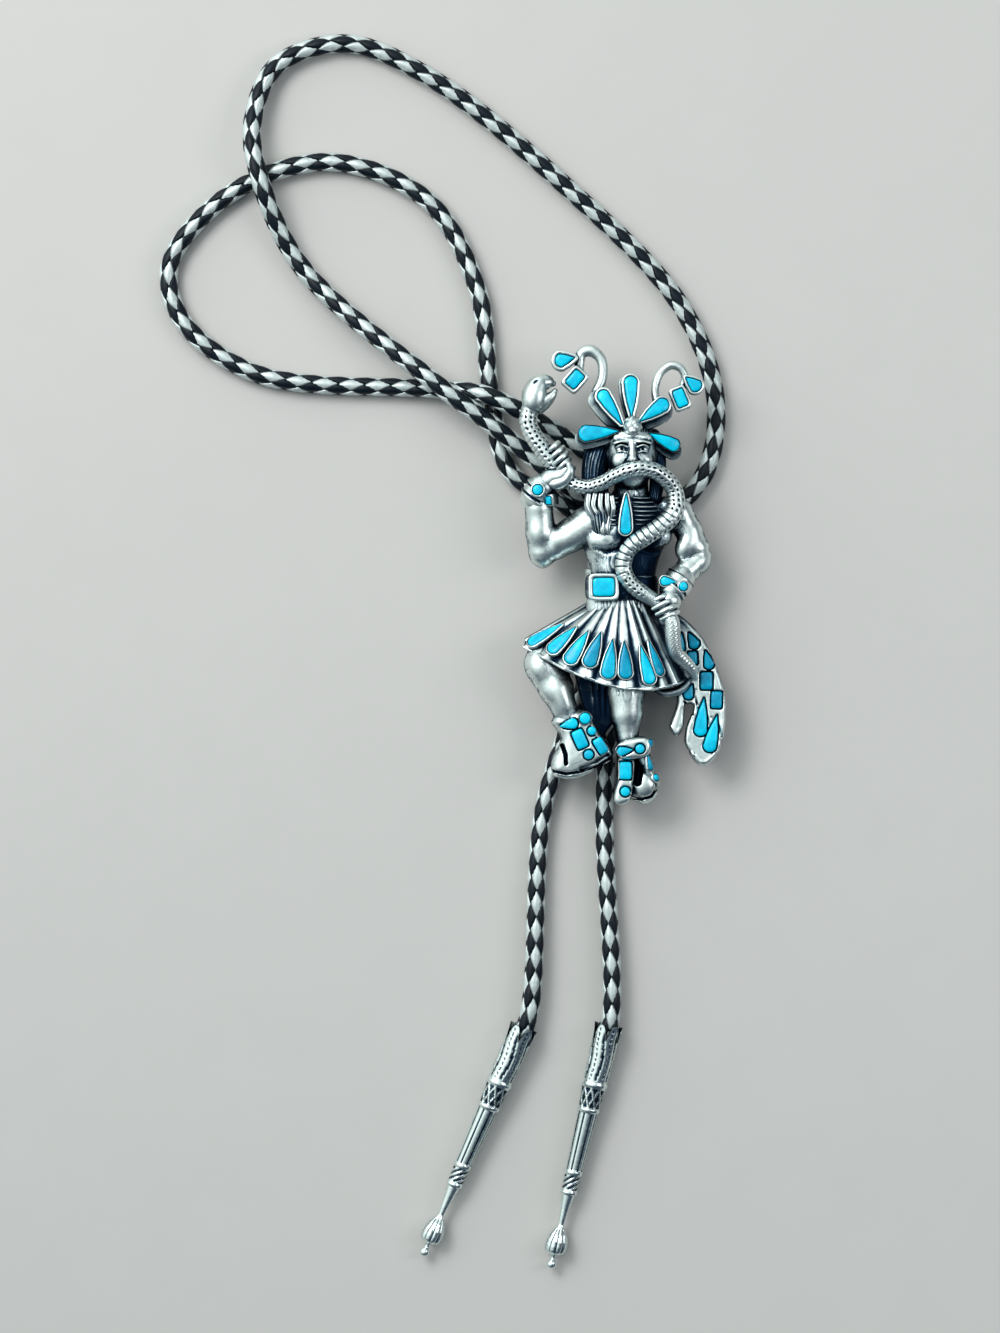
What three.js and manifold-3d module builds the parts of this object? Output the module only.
// A bolo tie: a cast silver dancer set with turquoise, sliding on a braided leather cord with two silver tips.
// Millimetres, +Z up. The tie lies on a flat surface, the dancer's head towards +Y and its face up.
import * as THREE from "three";
import { mergeVertices } from "three/addons/utils/BufferGeometryUtils.js";
import Module from "manifold-3d";

const wasm = await Module();
wasm.setup();

// Driving dimensions of the slide
const SLIDE_WIDTH = 48.7;
const SLIDE_HEIGHT = 109;
const RELIEF = 15; // from the flat back of the casting to its highest point
const KILT_WALL = 1.5;
const PLEAT_DEPTH = 1.1;
const KILT_HOLLOW = [0.3, 0.65, 1.1]; // where the hollow under the kilt runs, from waist (0) to past the hem (1)
const EDGE_ROUND = 0.7; // rounding of the boots' and the tail's edges
const SEAT_THICK = 1.6; // plate behind the body that the clip lies against
const SEAT_INSET = 0.5; // how much narrower than the clip the plate is on each side
const SEAT_OVERHANG = 1; // how far it reaches past each end of the clip

// Driving dimensions of the stones and their settings
const STONE_GAP = 0.25;
const STONE_SET = 1.1; // how deep a stone sits below the edge of its setting
const STONE_RISE = 0.6; // how far it stands above that edge
const STONE_CUT = 0.55; // width of the sloping cut round its table
const STONE_CUT_SHARE = 0.2; // and that width at most, as a share of the stone's
const STONE_GIRDLE = 0.25; // how high the sloping cut starts, as a share of the rise
const SQUARE_CORNER = 0.16; // a square stone's cut corner, as a share of its width
const DROP_SHOULDER = 0.42; // where a drop's side bends, as a share of its length
const DROP_HALF = 0.33; // half its width there, as a share of its width
const DROP_ARC = 0.55 * Math.PI; // how far its blunt end turns to each side
const DROP_POINT = 1.3; // how much further than its sides a drop's tip grows with a margin
const BEZEL_WALL = 0.5;
const BEZEL_LIP = 0.4; // thickness of its upper edge, as a share of the wall
const BEZEL_RISE = 0.2;

// Driving dimensions of the cord, the clip and the tips
const CORD_DIAMETER = 4.6;
const CORD_CLEAR = 0.5;
const CORD_SIDES = 10;
const CORD_STEPS = 80;
const CORD_DIVISIONS = 2000; // for measuring along the route
const CLIP_WALL = 0.7;
const CLIP_LENGTH = 14;
const CLIP_X = -1.1;
const CLIP_Y = -5;
const BORE_SPACING = 10.4;
const BORE_SIDES = 14;
const SEAT_GAP = 0.3;
const TIP_LENGTH = 61;
const TIP_RADIUS = 3.5;
const TIP_SOCKET = 9;
const TIP_CLEAR = 0.3;
const TIP_SIDES = 14;

// How the solids are made
const LIMB_SIDES = 8;
const THIN_SIDES = 6;
const CUT_MARGIN = 1; // how far a solid reaches past a face where it is cut off
const WELD = 1e-4; // points nearer than this are one

// Values that follow from them
const BORE_RADIUS = CORD_DIAMETER / 2 + CORD_CLEAR;
const CLIP_HEIGHT = 2 * (BORE_RADIUS + CLIP_WALL);
const BACK = CLIP_HEIGHT + SEAT_GAP;

// The cord from the left tip through the clip, round the doubled loop and back to the right tip
const CORD_ROUTE = [
  [-27, -116, 3.7],
  [-22.6, -106, 3.9],
  [-18.8, -55.4, 2.45],
  [-8.5, -24.2, 3.1],
  [-6.3, -15, 3.5],
  [-6.3, -5, 3.5],
  [-6.3, 5, 3.5],
  [-11.6, 15.6, 2.7],
  [-27, 25.7, 2.45],
  [-31.6, 43.7, 2.45],
  [-34.9, 69.6, 2.45],
  [-46.9, 91, 2.45],
  [-70.4, 100.3, 2.45],
  [-94.2, 92.9, 2.45],
  [-109.1, 75.6, 2.45],
  [-106.2, 62.2, 2.45],
  [-88.2, 49.2, 2.6],
  [-44.5, 45.4, 3.3],
  [-31.8, 43.4, 7.2],
  [-1.6, 25.4, 2.45],
  [9, 16.1, 2.7],
  [19.3, 23.8, 2.45],
  [22.7, 42.5, 2.45],
  [14.3, 65.5, 2.45],
  [-15, 95.8, 2.45],
  [-47.4, 121.4, 2.45],
  [-66.8, 128.9, 2.6],
  [-83.2, 123.6, 3.1],
  [-88.9, 110.2, 5],
  [-87.5, 97, 7.2],
  [-77.4, 75.1, 3.2],
  [-44.5, 46.3, 8.3],
  [-31.3, 36.5, 7.3],
  [-0.1, 10.6, 2.6],
  [4.1, 5, 3.5],
  [4.1, -5, 3.5],
  [4.1, -15, 3.5],
  [-2.5, -34.8, 2.6],
  [-4.2, -56.4, 2.45],
  [-2.6, -105.5, 3.9],
  [-5.1, -116, 3.7],
].map((place) => new THREE.Vector3(...place));

// In every table u is a share of the slide's width from its middle, v of its height from its middle,
// w of the relief from the flat back, r half a width as a share of the slide's width, and d half a
// depth as a share of the relief.
function table(names, rows) {
  const columns = names.split(" ");
  return rows.map((row) => Object.fromEntries(columns.map((name, place) => [name, row[place]])));
}

const BODY = table("u v w r d", [
  [0.042, 0.201, 0.41, 0.044, 0.17],
  [0.037, 0.174, 0.35, 0.074, 0.22],
  [0.032, 0.159, 0.33, 0.177, 0.27],
  [0.032, 0.137, 0.31, 0.236, 0.29],
  [0.022, 0.099, 0.31, 0.222, 0.33],
  [0.002, 0.057, 0.3, 0.192, 0.3],
  [0.002, 0.009, 0.29, 0.16, 0.28],
  [-0.007, -0.051, 0.29, 0.172, 0.29],
  [-0.002, -0.139, 0.27, 0.187, 0.27],
  [-0.002, -0.188, 0.27, 0.148, 0.21],
]);
const BELT = table("u v w r d", [
  [-0.007, 0.004, 0.29, 0.163, 0.29],
  [-0.007, 0, 0.29, 0.175, 0.32],
  [-0.007, -0.046, 0.29, 0.175, 0.32],
  [-0.007, -0.051, 0.29, 0.163, 0.29],
]);
const HEAD = table("u v w r d", [
  [0.042, 0.333, 0.46, 0.054, 0.13],
  [0.042, 0.316, 0.47, 0.103, 0.28],
  [0.042, 0.289, 0.47, 0.123, 0.34],
  [0.042, 0.258, 0.47, 0.123, 0.35],
  [0.042, 0.227, 0.47, 0.103, 0.33],
  [0.042, 0.201, 0.46, 0.064, 0.26],
  [0.042, 0.19, 0.45, 0.03, 0.16],
]);
const NOSE = table("u v w r d", [
  [0.047, 0.283, 0.75, 0.01, 0.05],
  [0.047, 0.263, 0.8, 0.015, 0.06],
  [0.047, 0.254, 0.79, 0.018, 0.05],
  [0.047, 0.247, 0.75, 0.01, 0.03],
]);
const LEFT_HAIR = table("u v w r d", [
  [-0.076, 0.311, 0.38, 0.044, 0.13],
  [-0.121, 0.274, 0.37, 0.064, 0.19],
  [-0.14, 0.219, 0.38, 0.064, 0.18],
  [-0.126, 0.163, 0.49, 0.059, 0.15],
  [-0.111, 0.115, 0.54, 0.054, 0.12],
  [-0.106, 0.079, 0.53, 0.03, 0.08],
]);
const RIGHT_HAIR = table("u v w r d", [
  [0.145, 0.307, 0.38, 0.039, 0.13],
  [0.17, 0.267, 0.35, 0.039, 0.17],
  [0.17, 0.219, 0.37, 0.039, 0.16],
  [0.155, 0.17, 0.45, 0.03, 0.13],
]);
const LEFT_UPPER_ARM = table("u v w r d", [
  [-0.091, 0.13, 0.31, 0.069, 0.23],
  [-0.15, 0.119, 0.33, 0.089, 0.27],
  [-0.254, 0.091, 0.31, 0.084, 0.27],
  [-0.342, 0.066, 0.29, 0.069, 0.23],
  [-0.401, 0.053, 0.27, 0.044, 0.16],
]);
const LEFT_FOREARM = table("u v w r d", [
  [-0.394, 0.033, 0.26, 0.034, 0.12],
  [-0.394, 0.051, 0.27, 0.069, 0.22],
  [-0.404, 0.099, 0.31, 0.074, 0.24],
  [-0.414, 0.152, 0.38, 0.067, 0.21],
  [-0.406, 0.196, 0.43, 0.052, 0.18],
]);
const LEFT_CUFF = table("u v w r d", [
  [-0.419, 0.148, 0.38, 0.067, 0.21],
  [-0.417, 0.155, 0.39, 0.076, 0.25],
  [-0.409, 0.194, 0.43, 0.069, 0.23],
  [-0.406, 0.201, 0.44, 0.057, 0.19],
]);
const LEFT_PALM = table("u v w r d", [
  [-0.406, 0.194, 0.44, 0.044, 0.15],
  [-0.362, 0.212, 0.46, 0.049, 0.18],
  [-0.303, 0.221, 0.5, 0.042, 0.16],
  [-0.264, 0.238, 0.54, 0.03, 0.12],
  [-0.264, 0.258, 0.55, 0.017, 0.07],
]);
const RIGHT_UPPER_ARM = table("u v w r d", [
  [0.204, 0.155, 0.31, 0.049, 0.21],
  [0.273, 0.141, 0.33, 0.069, 0.25],
  [0.323, 0.099, 0.31, 0.067, 0.24],
  [0.362, 0.06, 0.29, 0.062, 0.21],
  [0.382, 0.035, 0.27, 0.039, 0.15],
]);
const RIGHT_FOREARM = table("u v w r d", [
  [0.397, 0.046, 0.27, 0.039, 0.15],
  [0.367, 0.035, 0.29, 0.064, 0.21],
  [0.313, 0.013, 0.37, 0.062, 0.2],
  [0.264, -0.013, 0.46, 0.049, 0.17],
  [0.234, -0.038, 0.51, 0.047, 0.16],
]);
const RIGHT_CUFF = table("u v w r d", [
  [0.288, 0, 0.42, 0.062, 0.21],
  [0.278, -0.006, 0.43, 0.074, 0.24],
  [0.244, -0.029, 0.5, 0.069, 0.22],
  [0.236, -0.033, 0.51, 0.057, 0.19],
]);
const RIGHT_PALM = table("u v w r d", [
  [0.239, -0.033, 0.51, 0.044, 0.15],
  [0.224, -0.053, 0.57, 0.059, 0.19],
  [0.209, -0.075, 0.57, 0.059, 0.18],
  [0.204, -0.095, 0.57, 0.034, 0.12],
]);

// Each finger bends over the snake from its knuckle (u, v) to its tip (tu, tv)
const FINGERS = table("u v tu tv w", [
  [-0.32, 0.291, -0.362, 0.273, 0.62],
  [-0.296, 0.281, -0.355, 0.257, 0.63],
  [-0.276, 0.269, -0.34, 0.244, 0.64],
  [-0.266, 0.256, -0.32, 0.233, 0.64],
  [0.212, -0.04, 0.135, -0.057, 0.75],
  [0.234, -0.051, 0.145, -0.071, 0.77],
  [0.251, -0.064, 0.163, -0.083, 0.78],
  [0.261, -0.078, 0.185, -0.094, 0.77],
]);
const FINGER = 0.015; // half a finger's width
const FINGER_DEPTH = 0.055;
const FINGER_TIP = 0.8; // its width at the tip, as a share of the rest

const SNAKE = table("u v w r", [
  [-0.401, 0.435, 0.45, 0.02],
  [-0.421, 0.419, 0.45, 0.044],
  [-0.446, 0.397, 0.45, 0.057],
  [-0.461, 0.371, 0.45, 0.044],
  [-0.466, 0.344, 0.45, 0.042],
  [-0.446, 0.313, 0.45, 0.042],
  [-0.401, 0.283, 0.45, 0.044],
  [-0.352, 0.254, 0.45, 0.044],
  [-0.308, 0.227, 0.45, 0.039],
  [-0.254, 0.205, 0.49, 0.037],
  [-0.185, 0.195, 0.55, 0.034],
  [-0.111, 0.202, 0.66, 0.034],
  [-0.032, 0.22, 0.79, 0.034],
  [0.052, 0.232, 0.87, 0.037],
  [0.131, 0.231, 0.83, 0.037],
  [0.2, 0.214, 0.73, 0.039],
  [0.246, 0.188, 0.65, 0.039],
  [0.256, 0.157, 0.65, 0.042],
  [0.229, 0.129, 0.69, 0.044],
  [0.165, 0.104, 0.74, 0.042],
  [0.091, 0.082, 0.75, 0.042],
  [0.027, 0.06, 0.73, 0.039],
  [0, 0.033, 0.7, 0.039],
  [0.002, 0.009, 0.69, 0.039],
  [0.032, -0.015, 0.68, 0.037],
  [0.086, -0.035, 0.67, 0.037],
  [0.15, -0.053, 0.66, 0.034],
  [0.204, -0.073, 0.67, 0.034],
  [0.234, -0.099, 0.69, 0.037],
  [0.241, -0.135, 0.66, 0.037],
  [0.256, -0.166, 0.61, 0.034],
  [0.298, -0.185, 0.53, 0.031],
  [0.337, -0.203, 0.45, 0.024],
  [0.355, -0.223, 0.38, 0.012],
]);
const SNAKE_JAW = table("u v w r d", [
  [-0.441, 0.391, 0.45, 0.044, 0.12],
  [-0.401, 0.395, 0.45, 0.039, 0.12],
  [-0.367, 0.404, 0.45, 0.022, 0.09],
  [-0.333, 0.416, 0.45, 0.007, 0.05],
]);

// Columns of the kilt: where each pleat starts at the waist (u, v, w) and ends at the hem (hu, hv, hw)
const KILT = table("u v w hu hv hw", [
  [-0.17, -0.057, 0.21, -0.48, -0.137, 0.15],
  [-0.155, -0.068, 0.38, -0.49, -0.155, 0.35],
  [-0.121, -0.064, 0.48, -0.392, -0.179, 0.61],
  [-0.081, -0.057, 0.53, -0.293, -0.203, 0.75],
  [-0.052, -0.053, 0.56, -0.195, -0.221, 0.81],
  [-0.027, -0.051, 0.58, -0.086, -0.238, 0.82],
  [-0.007, -0.051, 0.58, 0.012, -0.247, 0.81],
  [0.022, -0.051, 0.58, 0.14, -0.249, 0.76],
  [0.047, -0.051, 0.57, 0.204, -0.243, 0.67],
  [0.086, -0.051, 0.53, 0.268, -0.236, 0.5],
  [0.16, -0.051, 0.25, 0.333, -0.225, 0.21],
]);

const LEFT_THIGH = table("u v w r d", [
  [-0.052, -0.13, 0.26, 0.089, 0.2],
  [-0.16, -0.148, 0.26, 0.099, 0.23],
  [-0.298, -0.17, 0.26, 0.099, 0.23],
  [-0.377, -0.183, 0.27, 0.084, 0.23],
  [-0.441, -0.19, 0.27, 0.044, 0.15],
]);
const LEFT_SHIN = table("u v w r d", [
  [-0.421, -0.163, 0.26, 0.049, 0.16],
  [-0.387, -0.192, 0.28, 0.099, 0.25],
  [-0.328, -0.245, 0.3, 0.086, 0.25],
  [-0.293, -0.285, 0.3, 0.064, 0.22],
  [-0.259, -0.325, 0.29, 0.059, 0.2],
]);
const RIGHT_LEG = table("u v w r d", [
  [0.017, -0.15, 0.27, 0.094, 0.24],
  [0.015, -0.254, 0.29, 0.091, 0.27],
  [0.017, -0.302, 0.29, 0.081, 0.25],
  [0.022, -0.351, 0.27, 0.054, 0.21],
  [0.032, -0.386, 0.26, 0.054, 0.2],
]);

const KNOT = table("u v w r d", [
  [0.042, 0.349, 0.65, 0.015, 0.07],
  [0.042, 0.338, 0.67, 0.039, 0.16],
  [0.042, 0.322, 0.69, 0.049, 0.19],
  [0.042, 0.307, 0.67, 0.039, 0.16],
  [0.042, 0.298, 0.65, 0.015, 0.07],
]);
const LEFT_HOOK = table("u v w r d", [
  [-0.131, 0.404, 0.48, 0.025, 0.08],
  [-0.106, 0.428, 0.45, 0.025, 0.08],
  [-0.099, 0.457, 0.42, 0.025, 0.08],
  [-0.116, 0.481, 0.41, 0.027, 0.09],
  [-0.16, 0.494, 0.41, 0.03, 0.09],
  [-0.204, 0.488, 0.41, 0.027, 0.09],
  [-0.214, 0.466, 0.41, 0.025, 0.08],
  [-0.214, 0.442, 0.41, 0.02, 0.07],
]);
const RIGHT_HOOK = table("u v w r d", [
  [0.16, 0.386, 0.49, 0.02, 0.07],
  [0.155, 0.411, 0.46, 0.02, 0.07],
  [0.18, 0.444, 0.43, 0.02, 0.07],
  [0.234, 0.462, 0.42, 0.021, 0.08],
  [0.283, 0.455, 0.42, 0.021, 0.08],
  [0.303, 0.435, 0.42, 0.02, 0.07],
  [0.288, 0.413, 0.42, 0.02, 0.07],
]);

const RIGHT_STRAP = table("u v w r d", [
  [0.086, -0.386, 0.35, 0.03, 0.13],
  [0.111, -0.411, 0.35, 0.022, 0.11],
  [0.14, -0.437, 0.31, 0.02, 0.11],
  [0.165, -0.453, 0.27, 0.015, 0.08],
]);

// Flat pieces of the casting: the height w of each face, then its outline
const TAIL = { w: 0.22, outline: table("u v", [
  [0.126, -0.099], [0.195, -0.077], [0.276, -0.087], [0.333, -0.108], [0.392, -0.139], [0.451, -0.194], [0.493, -0.254],
  [0.5, -0.313], [0.485, -0.364], [0.453, -0.395], [0.406, -0.412], [0.367, -0.408], [0.342, -0.391],
  [0.31, -0.364], [0.318, -0.331], [0.345, -0.3], [0.355, -0.283], [0.328, -0.276], [0.303, -0.285],
  [0.291, -0.331], [0.264, -0.349], [0.234, -0.329], [0.254, -0.298], [0.268, -0.272], [0.244, -0.236], [0.165, -0.192],
]) };
const SASH = { w: 0.14, outline: table("u v", [
  [-0.249, -0.192], [0.086, -0.192], [0.086, -0.272], [-0.052, -0.331], [-0.111, -0.371], [-0.19, -0.298],
]) };
const LEFT_BOOT = { w: 0.53, outline: table("u v", [
  [-0.352, -0.32], [-0.333, -0.304], [-0.288, -0.3], [-0.224, -0.29], [-0.175, -0.296], [-0.116, -0.34],
  [-0.047, -0.386], [-0.059, -0.4], [-0.111, -0.415], [-0.165, -0.429], [-0.249, -0.442], [-0.328, -0.437],
  [-0.352, -0.424], [-0.347, -0.397], [-0.313, -0.369], [-0.308, -0.351],
]) };
const RIGHT_ANKLE = { w: 0.55, outline: table("u v", [
  [-0.044, -0.38], [-0.022, -0.364], [0.042, -0.354], [0.111, -0.352], [0.135, -0.364], [0.126, -0.389],
  [0.057, -0.4], [-0.012, -0.397],
]) };
const TOE_STRAP = { w: 0.45, outline: table("u v", [
  [-0.027, -0.391], [0.052, -0.391], [0.052, -0.439], [0.044, -0.47], [0.027, -0.494], [-0.022, -0.501],
  [-0.044, -0.492], [-0.039, -0.466], [-0.025, -0.444],
]) };
const RIGHT_FOOT = { w: 0.3, outline: table("u v", [
  [-0.027, -0.386], [0.126, -0.386], [0.165, -0.444], [0.172, -0.475], [0.15, -0.492], [0.101, -0.5],
  [0.042, -0.49], [-0.022, -0.488],
]) };

// Every stone runs from its tip (u, v, w) to its end (eu, ev, ew). Its width is a share of the slide's
// width, its rim a number of bezel walls (0 is set flush), deep is the setting's depth as a share of
// the relief, and roll turns it about its length, in degrees.
const STONES = table("name cut u v w eu ev ew width rim deep roll", [
  ["feather_stone_1", "drop", -0.007, 0.329, 0.74, -0.114, 0.403, 0.67, 0.059, 2, 0.24, 0],
  ["feather_stone_2", "drop", 0.038, 0.347, 0.74, 0.034, 0.435, 0.69, 0.064, 2, 0.24, 0],
  ["feather_stone_3", "drop", 0.079, 0.337, 0.73, 0.214, 0.381, 0.66, 0.067, 1.6, 0.24, 0],
  ["feather_stone_4", "drop", -0.025, 0.315, 0.74, -0.219, 0.31, 0.69, 0.079, 1, 0.24, 0],
  ["feather_stone_5", "drop", 0.123, 0.311, 0.69, 0.271, 0.281, 0.59, 0.064, 1, 0.24, 0],
  ["left_ornament_drop", "drop", -0.239, 0.477, 0.55, -0.333, 0.469, 0.55, 0.064, 1.7, 0.2, 0],
  ["left_ornament_square", "square", -0.209, 0.444, 0.54, -0.264, 0.416, 0.54, 0.059, 1.5, 0.2, 0],
  ["right_ornament_square", "square", 0.262, 0.407, 0.55, 0.295, 0.371, 0.55, 0.054, 1.3, 0.2, 0],
  ["right_ornament_drop", "drop", 0.305, 0.434, 0.57, 0.374, 0.408, 0.57, 0.062, 1.2, 0.2, 0],
  ["left_cuff_round", "round", -0.444, 0.188, 0.67, -0.395, 0.188, 0.69, 0.049, 1, 0.15, 0],
  ["left_cuff_square", "square", -0.367, 0.174, 0.61, -0.362, 0.157, 0.58, 0.03, 0.8, 0.15, 35],
  ["pendant_stone", "drop", 0.013, 0.179, 0.69, 0.009, 0.091, 0.7, 0.054, 1, 0.15, 0],
  ["buckle_stone", "square", -0.15, -0.024, 0.66, -0.044, -0.024, 0.67, 0.089, 0.8, 0.15, 0],
  ["right_cuff_drop", "drop", 0.259, -0.014, 0.69, 0.18, -0.01, 0.67, 0.044, 0.8, 0.15, 0],
  ["right_cuff_round", "round", 0.27, -0.022, 0.69, 0.311, -0.023, 0.65, 0.042, 0.8, 0.15, 0],
  ["left_boot_drop", "drop", -0.314, -0.329, 0.53, -0.224, -0.319, 0.53, 0.054, 0, 0.1, 0],
  ["left_boot_round_1", "round", -0.214, -0.31, 0.53, -0.16, -0.311, 0.53, 0.054, 0.6, 0.15, 0],
  ["left_boot_square_1", "square", -0.231, -0.337, 0.53, -0.194, -0.375, 0.53, 0.057, 0, 0.1, 0],
  ["left_boot_round_2", "round", -0.175, -0.338, 0.53, -0.133, -0.338, 0.53, 0.042, 0, 0.1, 0],
  ["left_boot_square_2", "square", -0.133, -0.355, 0.53, -0.09, -0.386, 0.53, 0.049, 0, 0.1, 0],
  ["left_boot_round_3", "round", -0.193, -0.39, 0.53, -0.147, -0.39, 0.53, 0.045, 0, 0.1, 0],
  ["right_boot_drop", "drop", 0.047, -0.379, 0.55, -0.03, -0.384, 0.55, 0.047, 0, 0.1, 0],
  ["right_boot_round", "round", 0.059, -0.377, 0.55, 0.103, -0.377, 0.55, 0.044, 0, 0.1, 0],
  ["right_boot_edge", "round", 0.129, -0.357, 0.47, 0.129, -0.374, 0.47, 0.039, 0.6, 0.12, -55],
  ["right_boot_square", "square", 0.011, -0.406, 0.45, 0.011, -0.444, 0.45, 0.059, 0, 0.1, 0],
  ["right_boot_toe", "round", -0.013, -0.471, 0.45, 0.033, -0.471, 0.45, 0.045, 0, 0.1, 0],
  ["right_strap_drop", "drop", 0.116, -0.39, 0.46, 0.135, -0.424, 0.43, 0.03, 0.7, 0.12, -40],
  ["right_strap_round", "round", 0.15, -0.435, 0.39, 0.168, -0.447, 0.37, 0.03, 0.7, 0.12, -40],
  ["tail_drop_1", "drop", 0.288, -0.124, 0.22, 0.281, -0.166, 0.22, 0.044, 0, 0.1, 0],
  ["tail_drop_2", "drop", 0.323, -0.123, 0.22, 0.362, -0.157, 0.22, 0.054, 0, 0.1, 0],
  ["tail_square_1", "square", 0.342, -0.165, 0.22, 0.345, -0.193, 0.22, 0.044, 0, 0.1, 0],
  ["tail_drop_3", "drop", 0.406, -0.162, 0.22, 0.429, -0.203, 0.22, 0.049, 0, 0.1, 0],
  ["tail_square_2", "square", 0.411, -0.21, 0.22, 0.411, -0.248, 0.22, 0.059, 0, 0.1, 0],
  ["tail_square_3", "square", 0.463, -0.252, 0.22, 0.459, -0.289, 0.22, 0.054, 0, 0.1, 0],
  ["tail_drop_4", "drop", 0.342, -0.237, 0.22, 0.315, -0.269, 0.22, 0.049, 0, 0.1, 0],
  ["tail_drop_5", "drop", 0.4, -0.266, 0.22, 0.378, -0.35, 0.22, 0.064, 0, 0.1, 0],
  ["tail_drop_6", "drop", 0.464, -0.304, 0.22, 0.421, -0.385, 0.22, 0.067, 0, 0.1, 0],
]);

// Stones on the pleats: the pleat's column, where tip and end lie from waist (0) to hem (1), and the width
const KILT_STONES = table("column tip end width", [
  [1, 0.42, 0.92, 0.062],
  [2, 0.41, 0.89, 0.062],
  [3, 0.43, 0.91, 0.062],
  [4, 0.42, 0.86, 0.062],
  [5, 0.47, 0.92, 0.062],
  [6, 0.47, 0.88, 0.059],
  [7, 0.51, 0.93, 0.054],
  [8, 0.48, 0.86, 0.042],
]);
const KILT_BEZEL_DEEP = 0.16;
const KILT_BEZEL_RIM = 1;

// The tip's outside from its mouth to its ball: along is a share of its length, radius of its mouth's radius
const TIP_PROFILE = table("along radius", [
  [0, 1.03], [0.03, 1], [0.13, 0.9], [0.24, 0.86], [0.25, 0.93], [0.26, 0.88], [0.34, 0.76],
  [0.35, 0.82], [0.36, 0.7], [0.59, 0.57], [0.6, 0.64], [0.62, 0.6], [0.68, 0.55], [0.69, 0.6],
  [0.7, 0.46], [0.82, 0.21], [0.87, 0.5], [0.92, 0.79], [0.935, 0.7], [0.945, 0.18],
  [0.958, 0.16], [0.97, 0.33], [0.982, 0.37], [0.993, 0.27], [1, 0],
]);

const UP = new THREE.Vector3(0, 0, 1);
const silver = new THREE.MeshStandardMaterial({ color: 0xc9cdd0, roughness: 0.34, metalness: 1 });
const plainSilver = new THREE.MeshStandardMaterial({ color: 0xa9adb0, roughness: 0.45, metalness: 1 });
const turquoise = new THREE.MeshStandardMaterial({ color: 0x10a9c4, roughness: 0.3, metalness: 0 });
const leather = new THREE.MeshStandardMaterial({ color: 0x5c6367, roughness: 0.5, metalness: 0.2 });

function spot(u, v, w) {
  return new THREE.Vector3(u * SLIDE_WIDTH, v * SLIDE_HEIGHT, BACK + w * RELIEF);
}

// A three.js geometry as a solid, and a solid as a three.js geometry
function solid(geometry) {
  const bare = geometry.clone();
  bare.deleteAttribute("normal");
  bare.deleteAttribute("uv");
  const merged = mergeVertices(bare, WELD);
  return new wasm.Manifold(new wasm.Mesh({
    numProp: 3,
    vertProperties: new Float32Array(merged.attributes.position.array),
    triVerts: new Uint32Array(merged.index.array),
  }));
}

function geometryOf(body) {
  const mesh = body.getMesh();
  const geometry = new THREE.BufferGeometry();
  geometry.setAttribute("position", new THREE.BufferAttribute(new Float32Array(mesh.vertProperties), 3));
  geometry.setIndex(new THREE.BufferAttribute(new Uint32Array(mesh.triVerts), 1));
  geometry.computeVertexNormals();
  return geometry;
}

function geometryFrom(points, faces) {
  const geometry = new THREE.BufferGeometry();
  geometry.setAttribute("position", new THREE.Float32BufferAttribute(points.flatMap((p) => p.toArray()), 3));
  geometry.setIndex(faces);
  return geometry;
}

// A closed skin through rings of points that turn anticlockwise about the way they go
function loft(rings) {
  const sides = rings[0].length;
  const faces = [];
  for (let ring = 0; ring + 1 < rings.length; ring += 1) {
    for (let side = 0; side < sides; side += 1) {
      const here = ring * sides + side;
      const next = ring * sides + ((side + 1) % sides);
      faces.push(here, next, next + sides, here, next + sides, here + sides);
    }
  }
  const last = (rings.length - 1) * sides;
  for (let side = 1; side + 1 < sides; side += 1) {
    faces.push(0, side + 1, side, last, last + side, last + side + 1);
  }
  return geometryFrom(rings.flat(), faces);
}

// A rounded limb through oval rings that stand across its path
function limb(rows, sides = LIMB_SIDES) {
  const middles = rows.map((row) => spot(row.u, row.v, row.w));
  const rings = rows.map((row, place) => {
    const before = middles[Math.max(place - 1, 0)];
    const after = middles[Math.min(place + 1, rows.length - 1)];
    const way = after.clone().sub(before).setZ(0).normalize();
    const across = new THREE.Vector3(-way.y, way.x, 0).multiplyScalar(row.r * SLIDE_WIDTH);
    const depth = (row.d ?? (row.r * SLIDE_WIDTH) / RELIEF) * RELIEF;
    return Array.from({ length: sides }, (_, side) => {
      const angle = ((side + 0.5) / sides) * 2 * Math.PI;
      return middles[place].clone()
        .addScaledVector(across, Math.cos(angle))
        .addScaledVector(UP, depth * Math.sin(angle));
    });
  });
  return solid(loft(rings));
}

function finger(row) {
  const bend = { u: (row.u + row.tu) / 2, v: (row.v + row.tv) / 2 };
  return limb([
    { u: row.u, v: row.v, w: row.w - FINGER_DEPTH, r: FINGER, d: FINGER_DEPTH },
    { ...bend, w: row.w, r: FINGER, d: FINGER_DEPTH },
    { u: row.tu, v: row.tv, w: row.w - FINGER_DEPTH, r: FINGER * FINGER_TIP, d: FINGER_DEPTH },
  ], THIN_SIDES);
}

// A flat piece of the casting with its edge rounded, reaching down past the back, where it is cut off
function slab({ w, outline }) {
  const shape = new THREE.Shape(outline.map(({ u, v }) => new THREE.Vector2(u * SLIDE_WIDTH, v * SLIDE_HEIGHT)));
  const geometry = new THREE.ExtrudeGeometry(shape, {
    depth: w * RELIEF,
    bevelThickness: EDGE_ROUND,
    bevelSize: EDGE_ROUND,
    bevelOffset: -EDGE_ROUND,
    bevelSegments: 1,
  });
  geometry.translate(0, 0, BACK - EDGE_ROUND);
  return solid(geometry);
}

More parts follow.
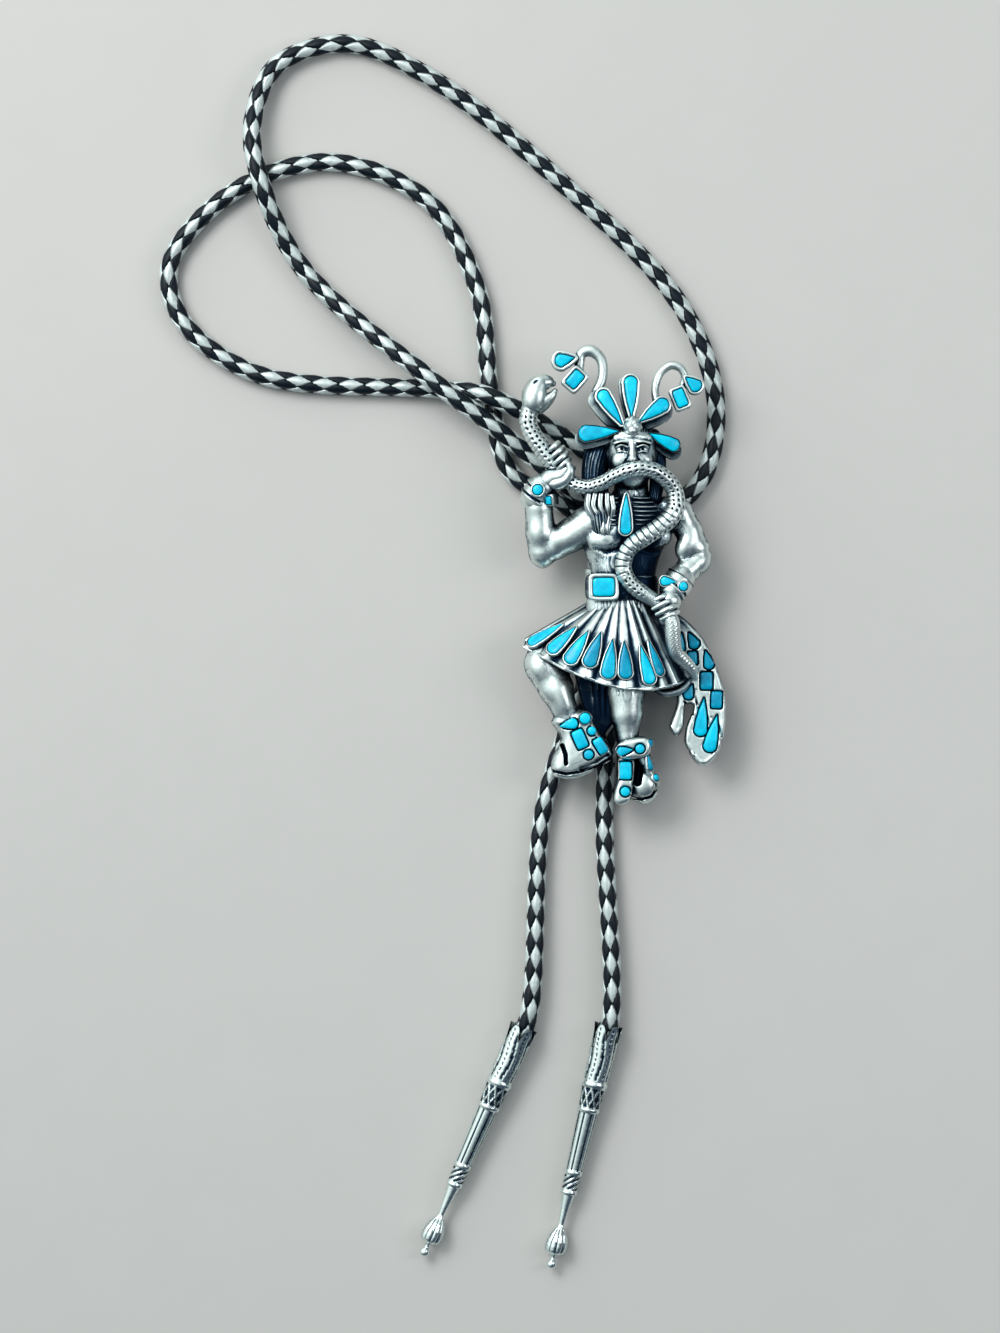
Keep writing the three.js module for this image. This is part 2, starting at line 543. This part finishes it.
// A point of the kilt's outer face: column counts pleats, halves being the valleys between them, and
// share goes from the waist to the hem
function kiltPoint(column, share, inset = 0) {
  const low = Math.min(Math.floor(column), KILT.length - 2);
  const part = column - low;
  const mix = (name) => KILT[low][name] * (1 - part) + KILT[low + 1][name] * part;
  const waist = spot(mix("u"), mix("v"), mix("w"));
  const hem = spot(mix("hu"), mix("hv"), mix("hw"));
  const valley = Math.abs(part - Math.round(part)) * 2;
  const point = waist.lerp(hem, share);
  point.z -= inset + valley * PLEAT_DEPTH * share;
  return point;
}

// The block between the kilt's face and a plane below the casting's back
function kiltBlock(columns, shares, inset) {
  const top = shares.map((share) => columns.map((column) => kiltPoint(column, share, inset)));
  const bottom = top.map((row) => row.map((point) => point.clone().setZ(BACK - CUT_MARGIN)));
  const wide = columns.length;
  const tall = shares.length;
  const under = wide * tall;
  const faces = [];
  const quad = (a, b, c, d) => faces.push(a, b, c, a, c, d);
  for (let row = 0; row + 1 < tall; row += 1) {
    for (let column = 0; column + 1 < wide; column += 1) {
      const a = row * wide + column;
      quad(a, a + wide, a + wide + 1, a + 1);
      quad(under + a, under + a + 1, under + a + wide + 1, under + a + wide);
    }
    const left = row * wide;
    const right = left + wide - 1;
    quad(left, under + left, under + left + wide, left + wide);
    quad(right, right + wide, under + right + wide, under + right);
  }
  for (let column = 0; column + 1 < wide; column += 1) {
    const hem = (tall - 1) * wide + column;
    quad(column, column + 1, under + column + 1, under + column);
    quad(hem, under + hem, under + hem + 1, hem + 1);
  }
  return solid(geometryFrom([...top.flat(), ...bottom.flat()], faces));
}

function kilt() {
  const pleats = KILT.length - 1;
  const columns = Array.from({ length: 2 * pleats + 1 }, (_, place) => place / 2);
  const inner = columns.slice(1, -1);
  const outside = kiltBlock(columns, [0, 0.5, 1], 0);
  const inside = kiltBlock(inner, KILT_HOLLOW, KILT_WALL);
  return outside.subtract(inside);
}

// A stone's outline, anticlockwise from its tip, grown outwards by a margin
function stoneOutline(cut, length, width, margin) {
  const radius = width / 2 + margin;
  const arc = (middle, from, to, steps) => Array.from({ length: steps + 1 }, (_, step) => {
    const angle = from + ((to - from) * step) / steps;
    return [middle + radius * Math.cos(angle), radius * Math.sin(angle)];
  });
  if (cut === "round") {
    return arc(length / 2, Math.PI / 8, (15 / 8) * Math.PI, 7);
  }
  if (cut === "square") {
    const corner = width * SQUARE_CORNER;
    const far = length + margin;
    return [
      [-margin, corner - radius], [corner - margin, -radius], [far - corner, -radius], [far, corner - radius],
      [far, radius - corner], [far - corner, radius], [corner - margin, radius], [-margin, radius - corner],
    ];
  }
  const shoulder = length * DROP_SHOULDER;
  const half = width * DROP_HALF + margin;
  return [
    [-DROP_POINT * margin, 0],
    [shoulder, -half],
    ...arc(length - width / 2, -DROP_ARC, DROP_ARC, 6),
    [shoulder, half],
  ];
}

// A stone's place: its own axes, its length, and how to find a point on or above its outline
function seatOf({ tip, end, lean, roll = 0 }) {
  const along = end.clone().sub(tip).normalize();
  const level = lean ?? new THREE.Vector3().crossVectors(UP, along);
  const across = level.clone().addScaledVector(along, -level.dot(along)).normalize();
  across.applyAxisAngle(along, THREE.MathUtils.degToRad(roll));
  const up = new THREE.Vector3().crossVectors(along, across);
  return {
    length: tip.distanceTo(end),
    ring: (outline, height) => outline.map(([x, y]) => tip.clone()
      .addScaledVector(along, x)
      .addScaledVector(across, y)
      .addScaledVector(up, height)),
  };
}

function stoneParts(row) {
  const seat = seatOf(row);
  const ring = (margin, height) => seat.ring(stoneOutline(row.cut, seat.length, row.width, margin), height);
  const wall = STONE_GAP + BEZEL_WALL * row.rim;
  const cut = Math.min(STONE_CUT, row.width * STONE_CUT_SHARE);
  return {
    stone: loft([ring(0, -STONE_SET), ring(0, STONE_RISE * STONE_GIRDLE), ring(-cut, STONE_RISE)]),
    pocket: solid(loft([ring(STONE_GAP, -STONE_SET - STONE_GAP), ring(STONE_GAP, STONE_RISE + STONE_GAP)])),
    collar: row.rim > 0
      ? solid(loft([ring(wall, -row.deep), ring(wall, 0), ring(STONE_GAP + BEZEL_LIP * BEZEL_WALL, BEZEL_RISE)]))
      : null,
  };
}

function allStones() {
  const placed = STONES.map((row) => ({
    name: row.name,
    cut: row.cut,
    tip: spot(row.u, row.v, row.w),
    end: spot(row.eu, row.ev, row.ew),
    width: row.width * SLIDE_WIDTH,
    rim: row.rim,
    deep: row.deep * RELIEF,
    roll: row.roll,
  }));
  const onKilt = KILT_STONES.map((row) => ({
    name: `kilt_stone_${row.column}`,
    cut: "drop",
    tip: kiltPoint(row.column, row.tip).addScaledVector(UP, BEZEL_RISE),
    end: kiltPoint(row.column, row.end).addScaledVector(UP, BEZEL_RISE),
    lean: kiltPoint(row.column + 0.5, row.end).sub(kiltPoint(row.column - 0.5, row.end)),
    width: row.width * SLIDE_WIDTH,
    rim: KILT_BEZEL_RIM,
    deep: KILT_BEZEL_DEEP * RELIEF,
  }));
  return [...placed, ...onKilt];
}

function seatPlate() {
  const wide = BORE_SPACING + 2 * (BORE_RADIUS + CLIP_WALL) - 2 * SEAT_INSET;
  const plate = new THREE.BoxGeometry(wide, CLIP_LENGTH + 2 * SEAT_OVERHANG, SEAT_THICK);
  plate.translate(CLIP_X, CLIP_Y, BACK + SEAT_THICK / 2);
  return solid(plate);
}

function slide(settings) {
  const limbs = [
    BODY, BELT, HEAD, LEFT_HAIR, RIGHT_HAIR, LEFT_UPPER_ARM, LEFT_FOREARM, LEFT_CUFF, LEFT_PALM,
    RIGHT_UPPER_ARM, RIGHT_FOREARM, RIGHT_CUFF, RIGHT_PALM, LEFT_THIGH, LEFT_SHIN, RIGHT_LEG,
  ].map((rows) => limb(rows));
  const thin = [NOSE, KNOT, SNAKE, SNAKE_JAW, LEFT_HOOK, RIGHT_HOOK, RIGHT_STRAP].map((rows) => limb(rows, THIN_SIDES));
  const flat = [TAIL, SASH, LEFT_BOOT, RIGHT_ANKLE, TOE_STRAP, RIGHT_FOOT].map(slab);
  const collars = settings.map((setting) => setting.collar).filter(Boolean);
  const solids = [...limbs, ...thin, ...flat, ...FINGERS.map(finger), kilt(), seatPlate(), ...collars];
  const casting = solids.reduce((sum, next) => sum.add(next));
  const below = new THREE.BoxGeometry(3 * SLIDE_WIDTH, 3 * SLIDE_HEIGHT, BACK);
  below.translate(0, 0, BACK / 2);
  const pockets = settings.map((setting) => setting.pocket);
  const cast = [solid(below), ...pockets].reduce((rest, next) => rest.subtract(next), casting);
  return geometryOf(cast);
}

// The clip is one block with a bore for each run of the cord, and a flat underside to rest on
function clip() {
  const half = BORE_SPACING / 2 + BORE_RADIUS + CLIP_WALL;
  const corner = CLIP_HEIGHT / 4;
  const shape = new THREE.Shape([
    [-half + corner, 0], [half - corner, 0], [half, corner], [half, CLIP_HEIGHT - corner],
    [half - corner, CLIP_HEIGHT], [-half + corner, CLIP_HEIGHT], [-half, CLIP_HEIGHT - corner], [-half, corner],
  ].map(([x, z]) => new THREE.Vector2(x, z)));
  for (const side of [-1, 1]) {
    const bore = new THREE.Path();
    bore.absarc((side * BORE_SPACING) / 2, CLIP_HEIGHT / 2, BORE_RADIUS, 0, 2 * Math.PI);
    shape.holes.push(bore);
  }
  const geometry = new THREE.ExtrudeGeometry(shape, {
    depth: CLIP_LENGTH,
    bevelEnabled: false,
    curveSegments: BORE_SIDES,
  });
  geometry.rotateX(Math.PI / 2);
  geometry.translate(CLIP_X, CLIP_Y + CLIP_LENGTH / 2, 0);
  return geometry;
}

function cord() {
  const route = new THREE.CatmullRomCurve3(CORD_ROUTE);
  route.arcLengthDivisions = CORD_DIVISIONS;
  const section = new THREE.Shape(Array.from({ length: CORD_SIDES }, (_, side) => {
    const angle = (side / CORD_SIDES) * 2 * Math.PI;
    return new THREE.Vector2(Math.cos(angle), Math.sin(angle)).multiplyScalar(CORD_DIAMETER / 2);
  }));
  return new THREE.ExtrudeGeometry(section, { steps: CORD_STEPS, bevelEnabled: false, extrudePath: route });
}

// A tip is turned about its own axis, with a socket that takes the cord's end
function tip() {
  const socket = CORD_DIAMETER / 2 + TIP_CLEAR;
  const profile = [
    new THREE.Vector2(0, TIP_SOCKET),
    new THREE.Vector2(socket, TIP_SOCKET),
    new THREE.Vector2(socket, 0),
    ...TIP_PROFILE.map((row) => new THREE.Vector2(row.radius * TIP_RADIUS, row.along * TIP_LENGTH)),
  ];
  return new THREE.LatheGeometry(profile, TIP_SIDES);
}

function named(name, geometry, material) {
  const mesh = new THREE.Mesh(geometry, material);
  mesh.name = name;
  return mesh;
}

// A tip goes on the cord's end, in line with the last stretch of the route
function tipOn(name, end, before) {
  const mesh = named(name, tip(), silver);
  const way = end.clone().sub(before).normalize();
  mesh.quaternion.setFromUnitVectors(new THREE.Vector3(0, 1, 0), way);
  mesh.position.copy(end).addScaledVector(way, TIP_CLEAR - TIP_SOCKET);
  return mesh;
}

const stones = allStones();
const settings = stones.map(stoneParts);
const boloTie = new THREE.Group();
boloTie.add(named("dancer_slide", slide(settings), silver));
boloTie.add(named("cord_clip", clip(), plainSilver));
boloTie.add(named("braided_cord", cord(), leather));
boloTie.add(tipOn("left_tip", CORD_ROUTE[0], CORD_ROUTE[1]));
boloTie.add(tipOn("right_tip", CORD_ROUTE.at(-1), CORD_ROUTE.at(-2)));
stones.forEach((row, place) => boloTie.add(named(row.name, settings[place].stone, turquoise)));

export default boloTie;
